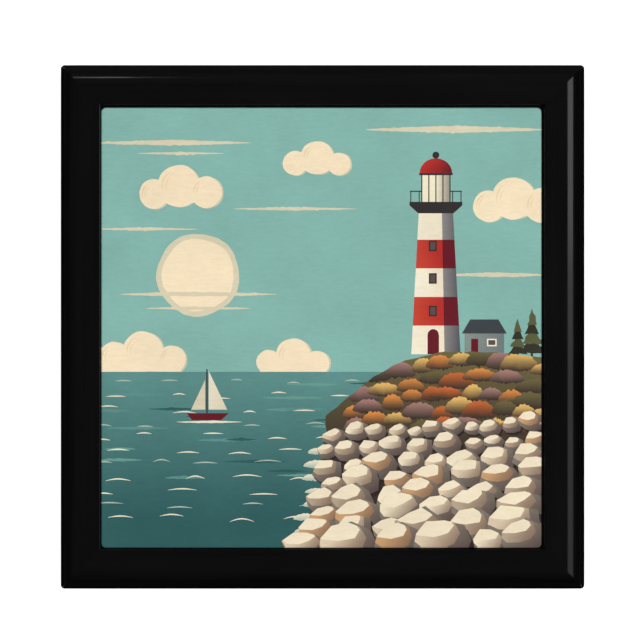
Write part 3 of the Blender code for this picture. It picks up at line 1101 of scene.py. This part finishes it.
def paint_hut(canvas):
    """A low keeper's hut with a slate roof, one door and one window."""
    canvas.at(84.0, 44.3)
    canvas.rect((-1.5, 0), (7.5, 4.6), "wall_light", None, ("wall", (0, 0), (7, 0)))
    canvas.paint([(-2.1, 4.4), (8.1, 4.4), (6.2, 7.6), (-0.2, 7.6)], "wall_shade")
    canvas.rect((0.0, 0), (1.6, 3.2), "red_dark")
    canvas.rect((3.6, 1.5), (5.8, 3.2), "trim")
    canvas.rect((3.9, 1.8), (5.5, 2.9), "pane")


def paint_picture():
    canvas = Canvas(5)
    for paint in (
        paint_sky,
        paint_clouds,
        paint_sea,
        paint_boat,
        paint_trees,
        paint_hut,
        paint_tower,
        paint_lantern,
        paint_headland,
        paint_foam,
        paint_rocks,
    ):
        canvas.at(0, 0)
        paint(canvas)
    return canvas.shapes


# The tile that carries the picture


def linear(channel):
    channel /= 255
    return channel / 12.92 if channel <= 0.04045 else ((channel + 0.055) / 1.055) ** 2.4


def shape_colour(shape, point):
    """A shape's colour at a canvas point, as linear RGBA."""
    _, name, _, fade = shape
    colour = PALETTE[name]
    if fade:
        second, start, end = fade
        along = (end[0] - start[0], end[1] - start[1])
        reach = (point.x - start[0]) * along[0] + (point.y - start[1]) * along[1]
        share = min(1.0, max(0.0, reach / (along[0] ** 2 + along[1] ** 2)))
        colour = [a + (b - a) * share for a, b in zip(colour, PALETTE[second])]
    return (*(linear(channel) for channel in colour), 1.0)


def topmost(shapes, inside):
    """The last painted shape whose outline, and every outline it is clipped to, holds this spot."""
    for index in sorted(inside, reverse=True):
        clip = index
        while clip is not None and clip in inside:
            clip = shapes[clip][2]
        if clip is None:
            return shapes[index]
    return shapes[0]


def rounded_square(half, radius):
    outline = []
    for centre_x, centre_y, start in ((1, 1, 0), (-1, 1, 90), (-1, -1, 180), (1, -1, 270)):
        centre = (centre_x * (half - radius), centre_y * (half - radius))
        outline += arc(centre, radius, start, start + 90, 8)
    return outline


def outward(point, half, radius):
    """The outward direction at a point on a rounded square."""
    reach = half - radius
    away = Vector((max(abs(point.x) - reach, 0.0), max(abs(point.y) - reach, 0.0)))
    if away.length < HAIR:
        away = Vector((float(abs(point.x) > abs(point.y)), float(abs(point.x) <= abs(point.y))))
    away = Vector((math.copysign(away.x, point.x), math.copysign(away.y, point.y)))
    return away.normalized()


def print_sheet(bm, ink, half, radius, unit):
    """The tile's flat top: triangles cut along every painted outline, coloured at their corners."""
    shapes = paint_picture()
    edge = [(x / unit + CANVAS_HALF, y / unit + CANVAS_HALF) for x, y in rounded_square(half, radius)]
    corners, faces = [], []
    for outline in [edge] + [shape[0] for shape in shapes]:
        faces.append(list(range(len(corners), len(corners) + len(outline))))
        corners += [Vector(point) for point in outline]
    spots, _, triangles, *origins = delaunay_2d_cdt(corners, [], faces, 0, CANVAS_WELD)
    placed = [((spot.x - CANVAS_HALF) * unit, (spot.y - CANVAS_HALF) * unit, 0.0) for spot in spots]
    flat = [bm.verts.new(point) for point in placed]
    for triangle, sources in zip(triangles, origins[2]):
        if 0 not in sources:
            continue
        shape = topmost(shapes, {source - 1 for source in sources if source})
        face = bm.faces.new([flat[corner] for corner in triangle])
        for loop, corner in zip(face.loops, triangle):
            loop[ink] = shape_colour(shape, spots[corner])
    bmesh.ops.delete(bm, geom=[vert for vert in bm.verts if not vert.link_faces], context="VERTS")


def rim_levels(thickness):
    """How far out and how high each ring of the rim is, down round the top edge and the bottom one."""
    levels = arc((0, -TILE_EDGE), TILE_EDGE, 75, 0, 5)
    return levels + arc((0, TILE_EDGE - thickness), TILE_EDGE, 0, -90, 4)


def printed_tile(size):
    """A closed tile, top at z 0: flat printed top, rounded edges in the same ink, plain clay below."""
    half, radius = size.x / 2 - TILE_EDGE, TILE_CORNER_RADIUS - TILE_EDGE
    bm = bmesh.new()
    ink = bm.loops.layers.float_color.new("print")
    print_sheet(bm, ink, half, radius, size.x / (2 * CANVAS_HALF))
    levels = rim_levels(size.z)
    rim = [edge for edge in bm.edges if edge.is_boundary]
    around = {vert for edge in rim for vert in edge.verts}
    rings = {}
    for vert in around:
        away = outward(vert.co, half, radius).to_3d()
        rings[vert] = [vert] + [bm.verts.new(vert.co + away * out + Vector((0, 0, z))) for out, z in levels]
    for edge in rim:
        loop = edge.link_loops[0]
        here, there = loop.vert, loop.link_loop_next.vert
        colours = [loop.link_loop_next[ink].copy(), loop[ink].copy()]
        for level in range(len(levels)):
            upper = [rings[there][level], rings[here][level]]
            face = bm.faces.new(upper + [rings[here][level + 1], rings[there][level + 1]])
            face.material_index = int(level >= PRINTED_LEVELS)
            for corner, colour in zip(face.loops, colours + colours[::-1]):
                corner[ink] = colour
    order = sorted(around, key=lambda vert: math.atan2(vert.co.y, vert.co.x))
    bottom = bm.faces.new([rings[vert][-1] for vert in reversed(order)])
    bottom.material_index = 1
    return bm


def print_material():
    """Ink under clear glaze: the mesh's own colours, brushed and mottled a little."""
    shader = Shader("glazed_print")
    colour = shader.nodes.new("ShaderNodeVertexColor")
    colour.layer_name = "print"
    wash = shader.noise(shader.place((1, 1.3, 1)), 34.0, 4.0, 0.55, 0.4)
    brush = shader.noise(shader.place((260, 900, 400)), 1.0, 4.0, 0.6, 0.5)
    speck = shader.noise(shader.place(), 1500.0, 2.0, 0.5)
    tone = shader.blend("MULTIPLY", colour.outputs["Color"], shader.span(wash, 0.3, 0.7, 0.93, 1.05))
    tone = shader.blend("MULTIPLY", tone, shader.span(brush, 0.3, 0.7, 0.955, 1.04))
    tone = shader.blend("MULTIPLY", tone, shader.span(speck, 0.3, 0.7, 0.975, 1.02))
    ripple = shader.noise(shader.place(), 120.0, 2.0, 0.4)
    shader.wire(
        Base_Color=tone,
        Roughness=shader.span(wash, 0.3, 0.7, 0.07, 0.11),
        Normal=shader.bump(ripple, 0.04, 0.0001),
    )
    return shader.material


def bisque_material():
    shader = Shader("white_clay")
    grit = shader.noise(shader.place(), 1400.0, 4.0, 0.6)
    shader.wire(
        Base_Color=shader.ramp(grit, [(0.3, (0.66, 0.63, 0.58)), (0.6, (0.80, 0.78, 0.74))]),
        Roughness=shader.span(grit, 0.3, 0.7, 0.6, 0.8),
        Normal=shader.bump(grit, 0.3, 0.0001),
    )
    return shader.material


def build_tile():
    middle, size = place_of("tile")
    top = (middle.x, middle.y, middle.z + size.z / 2)
    tile = make_object("printed_tile", printed_tile(size), print_material(), top)
    tile.data.materials.append(bisque_material())
    stand_for(tile, "tile", "lid")


# Stage: camera, floor, light


def build_camera():
    """Straight above the lid, far enough away to look flat, with the frame's own margins."""
    camera = bpy.data.objects.new("camera", bpy.data.cameras.new("camera"))
    bpy.context.scene.collection.objects.link(camera)
    camera.location = (*VIEW_CENTRE, LID_TOP + VIEW_DISTANCE)
    camera.data.sensor_width = 36.0
    camera.data.lens = camera.data.sensor_width * VIEW_DISTANCE / VIEW_WIDTH
    camera.data.clip_end = 50.0
    bpy.context.scene.camera = camera


def area_light(name, place, aim, size, radiance, glossy=True):
    """A rectangular softbox of a given radiance, turned to a point."""
    data = bpy.data.lights.new(name, "AREA")
    data.shape = "RECTANGLE"
    data.size, data.size_y = size
    data.energy = radiance * math.pi * size[0] * size[1]
    light = bpy.data.objects.new(name, data)
    bpy.context.scene.collection.objects.link(light)
    light.location = place
    light.rotation_euler = (Vector(aim) - Vector(place)).to_track_quat("-Z", "Y").to_euler()
    light.visible_glossy = glossy
    light.visible_camera = False


def build_lights():
    area_light("overhead_fill", (0, 0, 1.5), (0, 0, 0), (2.4, 2.4), FILL_RADIANCE, glossy=False)
    area_light("right_softbox", (0.64, 0.34, 1.10), (0, 0.34, 0.07), (0.62, 0.70), 1.35)
    area_light("right_softbox_dim", (0.64, -0.30, 1.10), (0, -0.30, 0.07), (0.66, 0.70), 0.5)
    area_light("back_left_strip", (-0.085, 0.37, 0.42), (-0.078, 0.086, 0.07), (0.02, 0.05), 2.5)


def build_world():
    """What the lacquer mirrors: a dim studio ceiling and a low glow off the four corners.

    The camera sees a pale backdrop instead.
    """
    world = bpy.data.worlds.new("studio")
    world.use_nodes = True
    nodes, links = world.node_tree.nodes, world.node_tree.links

    def math_node(operation, first, second):
        node = nodes.new("ShaderNodeMath")
        node.operation = operation
        for socket, value in zip(node.inputs, (first, second)):
            if isinstance(value, float):
                socket.default_value = value
            else:
                links.new(value, socket)
        return node.outputs["Value"]

    split = nodes.new("ShaderNodeSeparateXYZ")
    links.new(nodes.new("ShaderNodeTexCoord").outputs["Generated"], split.inputs["Vector"])
    x, y, z = split.outputs
    overhead = math_node("MAXIMUM", math_node("ADD", z, CEILING_REACH), 0.0)
    ceiling = math_node("ADD", math_node("MULTIPLY", y, CEILING_SLOPE), CEILING_GLOW)
    back = math_node("MULTIPLY", math_node("MAXIMUM", y, 0.0), BACK_GLOW)
    ceiling = math_node("ADD", math_node("MULTIPLY", ceiling, overhead), back)
    height = math_node("ABSOLUTE", math_node("ADD", z, BAND_DROP), 0.0)
    band = math_node("SUBTRACT", 1.0, math_node("MULTIPLY", height, BAND_FALL))
    band = math_node("MAXIMUM", band, 0.0)
    corner = math_node("ABSOLUTE", math_node("MULTIPLY", x, y), 0.0)
    corner = math_node("ADD", math_node("MULTIPLY", corner, CORNER_GAIN), CORNER_FLOOR)
    low_glow = math_node("MULTIPLY", math_node("MULTIPLY", band, corner), LOW_GLOW)
    glow = math_node("ADD", ceiling, low_glow)
    mix = nodes.new("ShaderNodeMix")
    mix.data_type = "RGBA"
    mix.inputs["B"].default_value = (*grey(BACKDROP), 1.0)
    links.new(glow, mix.inputs["A"])
    links.new(nodes.new("ShaderNodeLightPath").outputs["Is Camera Ray"], mix.inputs["Factor"])
    links.new(mix.outputs["Result"], nodes["Background"].inputs["Color"])
    bpy.context.scene.world = world


def build_floor():
    """A pale, faintly glowing ground that the lacquer doesn't mirror."""
    shader = Shader("pale_floor")
    mottle = shader.noise(shader.place(), 3.0, 3.0, 0.5)
    shader.wire(Base_Color=shader.ramp(mottle, [(0.3, grey(0.80)), (0.7, grey(0.84))]))
    shader.set(Roughness=0.9, Emission_Color=(1, 1, 1, 1), Emission_Strength=FLOOR_GLOW)
    bm = bmesh.new()
    bmesh.ops.create_grid(bm, x_segments=8, y_segments=8, size=FLOOR_REACH)
    floor = make_object("floor", bm, shader.material, (0, 0, cad_low.z - FLOOR_DROP))
    floor.visible_glossy = False


def build():
    rng = random.Random(7)
    build_camera()
    build_world()
    build_lights()
    build_floor()
    lacquer, felt, brass = lacquer_material(), felt_material(), brass_material()
    board, foam = board_material(), foam_material()
    wedge = back_bevel()
    build_woodwork("lid_rail", "lid", rail_profile(), lacquer, wedge)
    build_woodwork("base_wall", "base", wall_profile(), lacquer, wedge)
    discard([wedge])
    build_board("lid_panel", "lid", board, BOARD_EDGE)
    build_board("base_panel", "base", board, BOARD_EDGE)
    for corner in ("front_left", "front_right", "back_left", "back_right"):
        build_board(f"tile_pad_{corner}", "lid", foam, PAD_EDGE)
        build_foot(f"foot_{corner}", felt, rng.uniform(0, 100))
    build_felt("lid_lining", "lid", felt, rng.uniform(0, 100))
    build_felt("floor_lining", "base", felt, rng.uniform(0, 100))
    for side in SIDES:
        build_felt(f"wall_lining_{side}", "base", felt, rng.uniform(0, 100))
    for hinge in ("hinge_left", "hinge_right"):
        build_hinge(hinge, brass, rng)
    build_tile()


bpy.context.scene.view_settings.view_transform = "Standard"
build()
